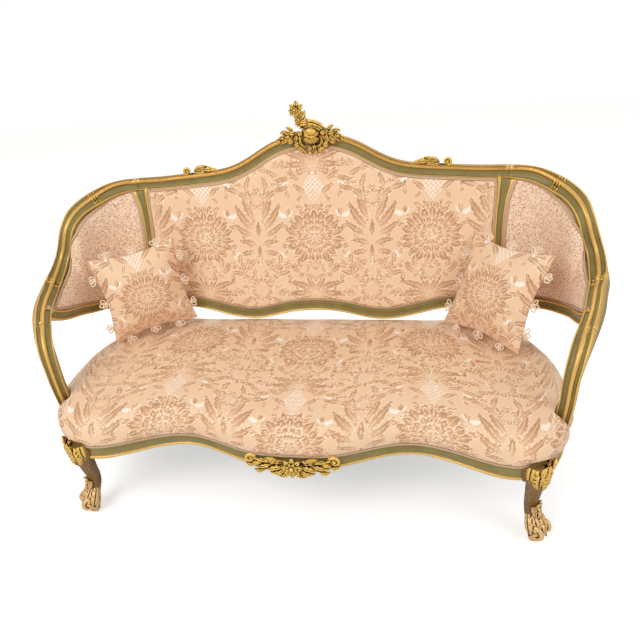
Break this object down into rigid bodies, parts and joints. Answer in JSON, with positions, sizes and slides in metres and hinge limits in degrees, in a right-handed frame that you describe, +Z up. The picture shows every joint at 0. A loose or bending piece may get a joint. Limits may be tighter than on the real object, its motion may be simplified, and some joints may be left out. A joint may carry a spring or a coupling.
{
  "type": "cabriole sofa",
  "caption": "Show-frame sofa with serpentine seat rail, cabriole front legs, winged arched back, carved cresting, sprung seat and two loose pillows.",
  "frame": {"origin": "middle of the footprint of the sofa's outer box, on the floor under the foot glides", "axes": "+X along the sofa to the viewer's right, +Y from the front to the back, +Z up"},
  "size_m": [1.9486, 0.8724, 1.2094],
  "materials": {
    "painted_wood": "sage green paint with gilded mouldings",
    "leg_wood": "olive brown paint rubbed with gold",
    "bare_beech": "bare planed beech",
    "gilding": "antique gold leaf on carved wood",
    "damask": "cream and peach woven damask",
    "chenille": "plain nubby chenille",
    "back_cloth": "plain woven cloth",
    "webbing": "jute webbing",
    "dust_cloth": "black dust cloth",
    "gimp": "double gimp braid",
    "steel": "zinc plated"
  },
  "bodies": {
    "sofa": {"apron_cartouche": "gilding", "back_webbing": "webbing", "block_screws": "steel", "centre_back_cover": "back_cloth", "centre_back_gimp": "gimp", "centre_back_pad": "damask", "collars": "gilding", "corner_blocks": "bare_beech", "crest_cartouche": "gilding", "crest_rail": "painted_wood", "dowels": "bare_beech", "dust_cover": "dust_cloth", "front_seat_rail": "painted_wood", "glides": "steel", "left_arm_rail": "painted_wood", "left_arm_support": "painted_wood", "left_crest_scroll": "gilding", "left_front_leg": "leg_wood", "left_knee_acanthus": "gilding", "left_rear_post": "painted_wood", "left_side_seat_rail": "painted_wood", "left_wing_cover": "back_cloth", "left_wing_lower_rail": "painted_wood", "left_wing_pad": "chenille", "left_wing_rail": "painted_wood", "lower_back_rail": "painted_wood", "rear_seat_rail": "painted_wood", "right_arm_rail": "painted_wood", "right_arm_support": "painted_wood", "right_crest_scroll": "gilding", "right_front_leg": "leg_wood", "right_knee_acanthus": "gilding", "right_rear_post": "painted_wood", "right_side_seat_rail": "painted_wood", "right_wing_cover": "back_cloth", "right_wing_lower_rail": "painted_wood", "right_wing_pad": "chenille", "right_wing_rail": "painted_wood", "seat_brace": "bare_beech", "seat_cushion": "damask", "seat_gimp": "gimp", "seat_webbing": "webbing"},
    "left_pillow": {"left_pillow": "damask"},
    "right_pillow": {"right_pillow": "damask"}
  },
  "joints": [
    {"name": "left_pillow_lift", "type": "slide", "parent": "sofa", "child": "left_pillow", "axis": [0, 0, 1], "range_m": [0, 0.3]},
    {"name": "right_pillow_lift", "type": "slide", "parent": "sofa", "child": "right_pillow", "axis": [0, 0, 1], "range_m": [0, 0.3]}
  ]
}
